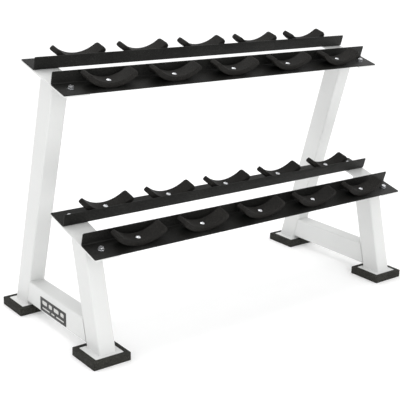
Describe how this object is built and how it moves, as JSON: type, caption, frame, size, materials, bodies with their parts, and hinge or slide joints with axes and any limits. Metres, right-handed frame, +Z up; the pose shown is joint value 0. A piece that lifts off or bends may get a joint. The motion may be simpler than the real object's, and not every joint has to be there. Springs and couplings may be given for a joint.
{
  "type": "dumbbell rack",
  "caption": "Two-tier sloping dumbbell rack with leaning steel side frames, angle rails, curved saddles and square rubber feet.",
  "frame": {"origin": "on the floor, midway between the four feet", "axes": "+X along the rails, +Y towards the rear, so the user stands at -Y, +Z up"},
  "size_m": [1.4208, 0.6288, 0.944],
  "materials": {
    "white_frame": "satin powder coat",
    "black_rail": "fine textured powder coat",
    "black_saddle": "matt moulded",
    "rubber_foot": "matt moulded rubber",
    "marking_plate": "satin, blank",
    "zinc_hardware": "bright zinc plate"
  },
  "bodies": {
    "root": {"left_rear_leg": "white_frame", "left_front_leg": "white_frame", "left_base_tube": "white_frame", "left_top_plate": "white_frame", "left_lower_plate": "white_frame", "left_rear_foot_plate": "white_frame", "left_front_foot_plate": "white_frame", "left_rear_rubber_foot": "rubber_foot", "left_front_rubber_foot": "rubber_foot", "right_rear_leg": "white_frame", "right_front_leg": "white_frame", "right_base_tube": "white_frame", "right_top_plate": "white_frame", "right_lower_plate": "white_frame", "right_rear_foot_plate": "white_frame", "right_front_foot_plate": "white_frame", "right_rear_rubber_foot": "rubber_foot", "right_front_rubber_foot": "rubber_foot", "marking_plate": "marking_plate", "top_rear_rail": "black_rail", "top_front_rail": "black_rail", "lower_rear_rail": "black_rail", "lower_front_rail": "black_rail", "top_rear_saddle_1": "black_saddle", "top_rear_saddle_2": "black_saddle", "top_rear_saddle_3": "black_saddle", "top_rear_saddle_4": "black_saddle", "top_rear_saddle_5": "black_saddle", "top_front_saddle_1": "black_saddle", "top_front_saddle_2": "black_saddle", "top_front_saddle_3": "black_saddle", "top_front_saddle_4": "black_saddle", "top_front_saddle_5": "black_saddle", "lower_rear_saddle_1": "black_saddle", "lower_rear_saddle_2": "black_saddle", "lower_rear_saddle_3": "black_saddle", "lower_rear_saddle_4": "black_saddle", "lower_rear_saddle_5": "black_saddle", "lower_front_saddle_1": "black_saddle", "lower_front_saddle_2": "black_saddle", "lower_front_saddle_3": "black_saddle", "lower_front_saddle_4": "black_saddle", "lower_front_saddle_5": "black_saddle", "saddle_screws": "zinc_hardware", "saddle_washers": "zinc_hardware", "saddle_nuts": "zinc_hardware", "rail_bolts": "zinc_hardware", "rail_bolt_washers": "zinc_hardware", "rail_bolt_nuts": "zinc_hardware"}
  },
  "joints": []
}
